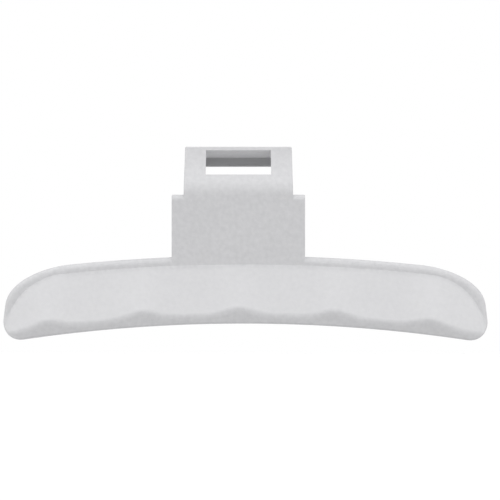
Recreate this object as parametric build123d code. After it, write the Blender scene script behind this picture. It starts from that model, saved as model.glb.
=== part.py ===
from build123d import *

import math
import os

# Dryer door handle, moulded in one piece: an arched grip bar with finger grooves, a flat neck,
# and a tongue that bends back, has a latch window and ends in a return lip.
# Millimetres. X runs along the grip, Z up to the tongue, and the finger side looks along -Y.
# The origin is the centre of the neck's flat back.

# Neck plate
neck_width = 41.3
neck_height = 18.9
neck_wall = 3.0
neck_root = 8.0
shoulder_round = 1.8

# Tongue, which leaves the neck upright, leans back and then straightens
tongue_width = 34.1
tongue_rise = 15.0
tongue_draft = 1.5
first_bend_radius = 7.0
greatest_lean = 38.0
top_lean = 17.0

# Latch window in the tongue, and the lip that returns behind it
window_width = 20.5
window_height = 8.4
window_web = 1.15
lip_gap = 4.6
lip_wall = 2.5
lip_drop = 6.1
lip_edge_round = 0.8
crown_round = 2.0
inner_round = 0.8

# Grip bar, as seen from the finger side
grip_length = 150.0
grip_height = 21.0
grip_offset = 2.2
arch_offset = 1.5
top_arch_radius = 530.0
bottom_arch_radius = 469.0
lower_corner_radius = 5.5
side_lean = 6.9
shoulder_run = 20.7
shoulder_drop = 15.3
shoulder_fullness = 8.0
side_fullness = 7.7

# Flat rim round the finger face, level with the neck
rim_width = 2.7
rim_round = 1.9
rim_end_fall = 10.5
rim_end_late_share = 0.3
rim_end_run = 16.1
rim_end_inset = 17.8

# Finger face: a ramp that rises from the rim to a lip, steeper on its five ridges than between
ridge_count = 5
ridge_pitch = 29.6
ridge_spread = 5.4
ridge_slope = 0.49
groove_slope = 0.385
lip_height = 2.6
lip_round = 2.8
underlip_slope = 0.32
pad_edge_round = 0.9

# Gap that keeps the walls of the finger face off the grip bar's own walls
pad_inset = 0.1

# Outer side of the grip: a dome round the arch
dome_radius = 24.0
dome_edge_round = 0.9

# Small radius on the moulding's other edges
edge_round = 0.4

# Spacing of the points on the finger face, and how far its curves run past the outline
point_spacing = 1.91
face_margin = 1.5

side_angle = 90 - tongue_draft
shoulder_z = neck_height / 2
grip_top = -neck_height / 2
grip_bottom = grip_top - grip_height
top_arch_centre = Vector(arch_offset, grip_top - top_arch_radius)
bottom_arch_centre = Vector(arch_offset, grip_bottom - bottom_arch_radius)


def arch_height(x, centre, radius):
    """Height at x of an arch with that centre and radius."""
    return centre.Y + math.sqrt(radius**2 - (x - centre.X) ** 2)


def grip_end(side):
    """Lower corner, leaning side and long upper shoulder of the grip's left (-1) or right (1) end."""
    corner_x = grip_offset + side * (grip_length / 2 - lower_corner_radius)
    corner_reach = bottom_arch_radius + lower_corner_radius
    corner = Vector(corner_x, arch_height(corner_x, bottom_arch_centre, corner_reach))
    underside = bottom_arch_centre + (corner - bottom_arch_centre).normalized() * bottom_arch_radius
    outward = Vector(side * math.cos(math.radians(side_lean)), math.sin(math.radians(side_lean)))
    upward = Vector(-outward.Y * side, outward.X * side)
    side_foot = corner + outward * lower_corner_radius
    middle = corner + ((underside - corner) + (side_foot - corner)).normalized() * lower_corner_radius
    side_head = side_foot + upward * ((grip_top - shoulder_drop - side_foot.Y) / upward.Y)
    shoulder_x = grip_offset + side * (grip_length / 2 - shoulder_run)
    shoulder = Vector(shoulder_x, arch_height(shoulder_x, top_arch_centre, top_arch_radius))
    radial = (shoulder - top_arch_centre).normalized()
    along = Vector(radial.Y, -radial.X) * side
    return {
        "underside": underside,
        "shoulder": shoulder,
        "edges": [
            ThreePointArc(underside, middle, side_foot),
            Line(side_foot, side_head),
            Bezier(
                side_head,
                side_head + upward * side_fullness,
                shoulder + along * shoulder_fullness,
                shoulder,
            ),
        ],
    }


def grip_outline():
    """Front view of the grip bar as a face."""
    left, right = grip_end(-1), grip_end(1)
    crown = Vector(arch_offset, grip_top)
    belly = Vector(arch_offset, grip_bottom)
    edges = left["edges"] + right["edges"]
    edges.append(ThreePointArc(left["shoulder"], crown, right["shoulder"]))
    edges.append(ThreePointArc(left["underside"], belly, right["underside"]))
    return make_face(edges)


def rim_line(x):
    """Height at x of the crease between the flat rim and the finger face."""
    from_middle = abs(x - grip_offset)
    past_bend = max(0.0, from_middle - (grip_length / 2 - rim_end_inset)) / rim_end_run
    arch = arch_height(x, top_arch_centre, top_arch_radius)
    late = rim_end_late_share * past_bend**6
    early = (1 - rim_end_late_share) * past_bend**2
    return arch - rim_width - rim_end_fall * (early + late)


def ridge_share(x):
    """1 on the crest of a finger ridge, falling to 0 in the grooves."""
    middle = (ridge_count - 1) / 2
    crests = [(i - middle) * ridge_pitch for i in range(ridge_count)]
    return sum(math.exp(-(((x - crest) / ridge_spread) ** 2)) for crest in crests)


def spread(low, high, spacing):
    """Values from low to high, evenly spaced and about that spacing apart."""
    steps = round((high - low) / spacing)
    return [low + (high - low) * i / steps for i in range(steps + 1)]


def ramp_relief(x, height, face_height):
    """How far the ramp stands out from the rim, at x and at that height over the lower arch."""
    slope = groove_slope + (ridge_slope - groove_slope) * ridge_share(x)
    return slope * (face_height - height)


def underlip_relief(x, height, face_height):
    """How far the face under the lip stands out; it meets a groove's ramp at the lip's height."""
    crossing = groove_slope * (face_height - lip_height)
    return crossing + underlip_slope * (height - lip_height)


def relief_block(relief, margin):
    """Block whose front is ruled between two curves of a relief, a margin past the outline."""
    half = grip_length / 2 + margin
    curves = []
    for height in (grip_height + margin, -margin):
        points = []
        for x in spread(grip_offset - half, grip_offset + half, point_spacing):
            underside = arch_height(x, bottom_arch_centre, bottom_arch_radius)
            face_height = rim_line(x) - underside
            points.append(Vector(x, -neck_wall - relief(x, height, face_height), underside + height))
        curves.append(Spline(points).edge())
    front = Face.make_surface_from_curves(*curves)
    return extrude(front, amount=grip_length, dir=(0, 1, 0))


def finger_pad(outline_prism):
    """Raised finger face: the ridged ramp and the face under it, rounded where they meet."""
    pad = relief_block(ramp_relief, face_margin) & relief_block(underlip_relief, 2 * face_margin)
    underlip, ramp = pad.faces().sort_by(Axis.Y)[:2]
    pad = fillet([edge for edge in ramp.edges() if edge in underlip.edges()], lip_round)
    pad &= outline_prism
    front, walls = pad.faces().sort_by(Axis.Y)[:3], pad.faces().sort_by(Axis.Y)[3:]
    return fillet([edge for edge in walls.edges() if edge in front.edges()], pad_edge_round)


def grip_bar():
    """Grip bar: a base with a rimmed front and a dome round the arch behind, and the finger pad."""
    outline = Plane.XZ * grip_outline()
    base = extrude(Pos(0, -neck_wall, 0) * outline, amount=grip_height, dir=(0, 1, 0))
    base = fillet(base.edges().group_by(Axis.Y)[0], rim_round)
    dome_centre = -math.sqrt(dome_radius**2 - (grip_height / 2) ** 2)
    ring = Rot(90, 0, 0) * Torus(bottom_arch_radius + grip_height / 2, dome_radius)
    base &= Pos(arch_offset, dome_centre, bottom_arch_centre.Y) * ring
    dome = base.faces().sort_by(Axis.Y)[-1]
    base = fillet(dome.edges(), dome_edge_round)

    pad_outline = Plane.XZ * offset(grip_outline(), -pad_inset)
    pad = finger_pad(extrude(pad_outline, amount=grip_height, both=True))
    return base + split(pad, Plane.XZ.offset(neck_wall - rim_round), keep=Keep.TOP)


def neck_plate():
    """Flat neck from inside the grip bar up to its two shoulders."""
    bottom = grip_top - neck_root
    plate = Pos(0, -neck_wall / 2, (shoulder_z + bottom) / 2) * Box(
        neck_width, neck_wall, shoulder_z - bottom
    )
    top_edges = plate.edges().filter_by(Axis.X).group_by(Axis.Z)[-1]
    plate = fillet(top_edges.sort_by(Axis.Y)[0], shoulder_round)
    side_edges = [edge for face in plate.faces().filter_by(Plane.YZ) for edge in face.edges()]
    return fillet([edge for edge in side_edges if edge.center().Z > bottom + edge_round], edge_round)


def tongue_profile():
    """Side view of the tongue and its return lip, and the plane of the latch window's middle."""
    rise_of_bend = first_bend_radius * math.sin(math.radians(greatest_lean))
    sweep = math.sin(math.radians(greatest_lean)) - math.sin(math.radians(top_lean))
    sweep_radius = (tongue_rise - rise_of_bend) / sweep
    middle = -neck_wall / 2
    root = Line((middle, shoulder_z - neck_wall), (middle, shoulder_z))
    bend = JernArc(root @ 1, root % 1, first_bend_radius + middle, -greatest_lean)
    rise = JernArc(bend @ 1, bend % 1, sweep_radius - middle, greatest_lean - top_lean)
    strip = trace([root, bend, rise], line_width=neck_wall)

    up = rise % 1
    back = Vector(up.Y, -up.X)
    brow = (rise @ 1) + back * middle
    head = brow - up * window_web
    lip_root = head + back * (neck_wall + lip_gap)
    crown = Vector(lip_root.X + lip_wall, brow.Y)
    outer_foot = crown - Vector(0, lip_drop)
    inner_foot = outer_foot - Vector(lip_wall, 0)
    inside = head + back * neck_wall / 2
    hook = make_face(Polyline(brow, crown, outer_foot, inner_foot, lip_root, inside, close=True))
    profile = strip + hook
    for corner, radius in (
        (brow, edge_round),
        (crown, crown_round),
        (outer_foot, lip_edge_round),
        (inner_foot, lip_edge_round),
        (lip_root, inner_round),
        (head + back * neck_wall, inner_round),
    ):
        profile = fillet(profile.vertices().sort_by_distance(corner)[0], radius)

    window_middle = Plane.YZ.from_local_coords(head - up * window_height / 2)
    window_plane = Plane(window_middle, x_dir=(1, 0, 0), z_dir=(0, -back.X, -back.Y))
    return profile, window_plane


def tongue_with_lip():
    """Tongue and return lip, narrowing upward, less the latch window."""
    profile, window_plane = tongue_profile()
    tongue = extrude(Plane.YZ * profile, amount=tongue_width, both=True)
    reach = tongue.bounding_box().max
    foot = shoulder_z - neck_wall
    front_view = Trapezoid(tongue_width, reach.Z - foot, side_angle)
    front_view = Plane.XZ * Pos(0, (reach.Z + foot) / 2) * front_view
    tongue &= extrude(front_view, amount=reach.Y, both=True)
    faces = tongue.faces().sort_by(Axis.X)
    side_edges = faces[0].edges() + faces[-1].edges()
    tongue = fillet([edge for edge in side_edges if edge.center().Z > foot + edge_round], edge_round)
    window = window_plane * Trapezoid(window_width, window_height, side_angle)
    return tongue - extrude(window, amount=neck_wall + lip_gap / 2, both=True)


os.makedirs("parts", exist_ok=True)
bar = grip_bar()
neck = neck_plate()
tongue = tongue_with_lip()
door_handle = bar + neck + tongue
export_step(door_handle, "parts/door_handle.step")
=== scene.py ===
import math

import bpy
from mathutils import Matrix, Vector

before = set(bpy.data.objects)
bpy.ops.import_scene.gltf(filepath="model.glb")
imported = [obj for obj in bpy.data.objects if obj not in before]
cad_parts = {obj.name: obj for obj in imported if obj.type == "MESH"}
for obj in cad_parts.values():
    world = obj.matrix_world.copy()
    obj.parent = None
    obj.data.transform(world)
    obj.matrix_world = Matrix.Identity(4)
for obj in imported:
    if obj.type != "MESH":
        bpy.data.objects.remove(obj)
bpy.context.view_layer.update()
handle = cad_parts["door_handle"]

# Greys of the plastic, and a painted shade: the darker grey put into the colour of the return lip's
# inner face behind the latch window for the shadow it lies in
darker_grey = (0.568, 0.568, 0.582, 1)
paler_grey = (0.648, 0.648, 0.660, 1)
painted_shade_grey = (0.345, 0.345, 0.352, 1)

# Share of the paler grey: a base, more on the finger face (partly its smoother finish, partly
# painted light where it faces up), a slow mottling and a fine speck
base_paleness = 0.23
finger_face_finish_and_painted_light = 0.36
mottle_depth = 0.5
speck_depth = 1.5
speck_loss_on_finger_face = 0.45

# Moulded grain: noise scales to the metre, and the bump that the grain makes, in metres
fine_scale = 2600.0
coarse_scale = 750.0
mottle_scale = 55.0
fine_share = 0.6
bump_strength = 0.55
bump_distance = 0.00006
grain_loss_on_finger_face = 0.75

# Gloss of the plastic
refractive_index = 1.46
specular_level = 0.42
base_roughness = 0.6
roughness_loss_on_finger_face = 0.12
roughness_mottling = 0.06

# The finger face: metres in front of the neck's back, and how far its normal points up
finger_face_forward = (0.0031, 0.0036)
finger_face_upward = (0.1, 0.3)

# The return lip's inner face, where the shade is painted: metres behind the neck's back, and how
# far its normal points front
lip_behind = (0.0085, 0.0095)
lip_frontward = (0.4, 0.8)

# Floor, in metres: far below the handle, which is held at its neck
floor_z = -0.20
floor_size = 12
floor_roughness = 0.9
floor_specular_level = 0.1
floor_grey_seen = (0.93, 0.93, 0.93, 1)
floor_grey_lighting = (0.65, 0.65, 0.65, 1)

# Light tent: its level at the horizon, what height adds, and the dim sides before and behind
tent_level = 1.48
tent_rise = 0.22
camera_side_start, camera_side_end, camera_side_loss = 0.5, 0.8, 0.5
far_side_start, far_side_end, far_side_loss = 0.0, 0.5, 0.7
white = (1, 1, 1, 1)

# Camera straight in front, as in the photograph, with its scale at the neck's front face
millimetres_per_pixel = 0.30928
picture_pixels = 500
camera_distance = 1.2
camera_centre = Vector((0.00360, -0.003, -0.00768))
sensor_width = 36.0
clip_range = (0.05, 30.0)


def feed(tree, socket, value):
    """Links an output to the socket, or gives the socket a plain value."""
    if isinstance(value, bpy.types.NodeSocket):
        tree.links.new(value, socket)
    else:
        socket.default_value = value


def node(tree, kind, **values):
    """Adds a shader node and feeds its inputs by name."""
    made = tree.nodes.new(kind)
    for name, value in values.items():
        feed(tree, made.inputs[name], value)
    return made


def noise(tree, place, scale, detail, roughness):
    """Adds a noise texture and gives its value."""
    made = node(tree, "ShaderNodeTexNoise", Vector=place, Scale=scale, Detail=detail,
                Roughness=roughness)
    return made.outputs["Fac"]


def maths(tree, operation, first, second=0.0, clamp=False):
    """Adds one arithmetic node and gives its output."""
    made = tree.nodes.new("ShaderNodeMath")
    made.operation = operation
    made.use_clamp = clamp
    for socket, value in zip(made.inputs, (first, second)):
        feed(tree, socket, value)
    return made.outputs[0]


def scaled(tree, value, factor, offset):
    """Value times a factor, plus an offset."""
    made = maths(tree, "MULTIPLY_ADD", value, factor)
    made.node.inputs[2].default_value = offset
    return made


def smooth_step(tree, value, low, high):
    """0 below low and 1 above high, eased between."""
    made = tree.nodes.new("ShaderNodeMapRange")
    made.interpolation_type = "SMOOTHSTEP"
    tree.links.new(value, made.inputs["Value"])
    made.inputs["From Min"].default_value = low
    made.inputs["From Max"].default_value = high
    return made.outputs["Result"]


def mixed(tree, factor, first, second):
    """Mixes two colours: the first at 0, the second at 1."""
    made = tree.nodes.new("ShaderNodeMix")
    made.data_type = "RGBA"
    for name, value in (("Factor", factor), ("A", first), ("B", second)):
        feed(tree, made.inputs[name], value)
    return made.outputs["Result"]


def new_material(name):
    """Adds a material and gives it with its node tree and main shader."""
    material = bpy.data.materials.new(name)
    material.use_nodes = True
    return material, material.node_tree, material.node_tree.nodes["Principled BSDF"]


def handle_plastic():
    """Moulded plastic with a spark-eroded grain, a smoother satin on the finger face, which is also
    paler partly as painted light, and a painted shade on the return lip's inner face.
    """
    material, tree, shader = new_material("handle_plastic")
    shader.inputs["IOR"].default_value = refractive_index
    shader.inputs["Specular IOR Level"].default_value = specular_level

    place = tree.nodes.new("ShaderNodeTexCoord").outputs["Object"]
    facing = tree.nodes.new("ShaderNodeNewGeometry").outputs["Normal"]
    split_place = node(tree, "ShaderNodeSeparateXYZ", Vector=place)
    split_facing = node(tree, "ShaderNodeSeparateXYZ", Vector=facing)

    # The finger face stands in front of the rim and faces a little upward
    forward = maths(tree, "MULTIPLY", split_place.outputs["Y"], -1.0)
    in_front = smooth_step(tree, forward, *finger_face_forward)
    upward = smooth_step(tree, split_facing.outputs["Z"], *finger_face_upward)
    finger_face = maths(tree, "MULTIPLY", in_front, upward, clamp=True)

    # Grain heights at two sizes, and a slow mottling of the colour
    fine = noise(tree, place, fine_scale, detail=3.0, roughness=0.6)
    coarse = noise(tree, place, coarse_scale, detail=2.0, roughness=0.5)
    cloud = noise(tree, place, mottle_scale, detail=3.0, roughness=0.55)
    grain = maths(tree, "ADD", maths(tree, "MULTIPLY", fine, fine_share), coarse)
    grain_left = scaled(tree, finger_face, -grain_loss_on_finger_face, 1.0)
    height = maths(tree, "MULTIPLY", grain, grain_left)
    bump = node(tree, "ShaderNodeBump", Height=height, Strength=bump_strength,
                Distance=bump_distance)
    tree.links.new(bump.outputs["Normal"], shader.inputs["Normal"])

    # Colour: paler on the finger face, partly for its smoother finish and partly as painted light
    # where it faces up, with the mottling and a speck that is finer there
    mottle = maths(tree, "MULTIPLY", cloud, mottle_depth)
    speck_left = scaled(tree, finger_face, -speck_loss_on_finger_face, 1.0)
    speck = maths(tree, "MULTIPLY", scaled(tree, coarse, speck_depth, -speck_depth / 2), speck_left)
    # Painted light in part: the up-facing finger face gets extra paleness
    paleness_with_painted_light = scaled(tree, finger_face, finger_face_finish_and_painted_light, base_paleness)
    share = maths(tree, "ADD", maths(tree, "ADD", mottle, speck), paleness_with_painted_light, clamp=True)
    tint = mixed(tree, share, darker_grey, paler_grey)

    # Painted shade: the return lip's inner face, deep behind the latch window, gets a darker grey
    # for the shadow it lies in; the plastic there is the same grey
    deep = smooth_step(tree, split_place.outputs["Y"], *lip_behind)
    frontward = maths(tree, "MULTIPLY", split_facing.outputs["Y"], -1.0)
    toward_front = smooth_step(tree, frontward, *lip_frontward)
    painted_shade_share = maths(tree, "MULTIPLY", deep, toward_front)
    tree.links.new(mixed(tree, painted_shade_share, tint, painted_shade_grey), shader.inputs["Base Color"])

    wear = maths(tree, "MULTIPLY", cloud, roughness_mottling)
    smoother = scaled(tree, finger_face, -roughness_loss_on_finger_face, base_roughness)
    tree.links.new(maths(tree, "ADD", smoother, wear), shader.inputs["Roughness"])
    return material


def pale_floor():
    """Pale floor that shows paler to the camera than it lights the handle."""
    bpy.ops.mesh.primitive_plane_add(size=floor_size, location=(0, 0, floor_z))
    floor = bpy.context.object
    floor.name = "studio_floor"
    material, tree, shader = new_material("pale_floor")
    shader.inputs["Roughness"].default_value = floor_roughness
    shader.inputs["Specular IOR Level"].default_value = floor_specular_level
    rays = tree.nodes.new("ShaderNodeLightPath")
    shown = maths(tree, "MAXIMUM", rays.outputs["Is Camera Ray"], rays.outputs["Is Glossy Ray"])
    grey = mixed(tree, shown, floor_grey_lighting, floor_grey_seen)
    tree.links.new(grey, shader.inputs["Base Color"])
    floor.data.materials.append(material)


def light_tent():
    """Light tent: dimmer on the camera's side and behind, and plain white to the camera."""
    world = bpy.data.worlds.new("light_tent")
    bpy.context.scene.world = world
    world.use_nodes = True
    tree = world.node_tree
    tree.nodes.clear()
    output = tree.nodes.new("ShaderNodeOutputWorld")
    direction = tree.nodes.new("ShaderNodeTexCoord").outputs["Generated"]
    parts = node(tree, "ShaderNodeSeparateXYZ", Vector=direction)
    toward_camera = maths(tree, "MULTIPLY", parts.outputs["Y"], -1.0)
    near = smooth_step(tree, toward_camera, camera_side_start, camera_side_end)
    far = smooth_step(tree, parts.outputs["Y"], far_side_start, far_side_end)
    camera_side = scaled(tree, near, -camera_side_loss, 1.0)
    far_side = scaled(tree, far, -far_side_loss, 1.0)
    height = scaled(tree, parts.outputs["Z"], tent_rise, tent_level)
    level = maths(tree, "MULTIPLY", maths(tree, "MULTIPLY", camera_side, far_side), height)
    tent = node(tree, "ShaderNodeBackground", Strength=level, Color=white)
    backdrop = node(tree, "ShaderNodeBackground", Strength=1.0, Color=white)
    rays = tree.nodes.new("ShaderNodeLightPath")
    shown = tree.nodes.new("ShaderNodeMixShader")
    tree.links.new(rays.outputs["Is Camera Ray"], shown.inputs[0])
    tree.links.new(tent.outputs[0], shown.inputs[1])
    tree.links.new(backdrop.outputs[0], shown.inputs[2])
    tree.links.new(shown.outputs[0], output.inputs["Surface"])


def camera():
    """Camera level and straight in front of the handle."""
    picture_width = picture_pixels * millimetres_per_pixel / 1000
    data = bpy.data.cameras.new("camera")
    data.sensor_width = sensor_width
    data.lens = sensor_width * camera_distance / picture_width
    data.clip_start, data.clip_end = clip_range
    made = bpy.data.objects.new("camera", data)
    bpy.context.scene.collection.objects.link(made)
    made.location = camera_centre + Vector((0, -camera_distance, 0))
    made.rotation_euler = (math.radians(90), 0, 0)
    bpy.context.scene.camera = made


handle.data.materials.clear()
handle.data.materials.append(handle_plastic())
pale_floor()
light_tent()
camera()
bpy.context.scene.view_settings.view_transform = "Standard"
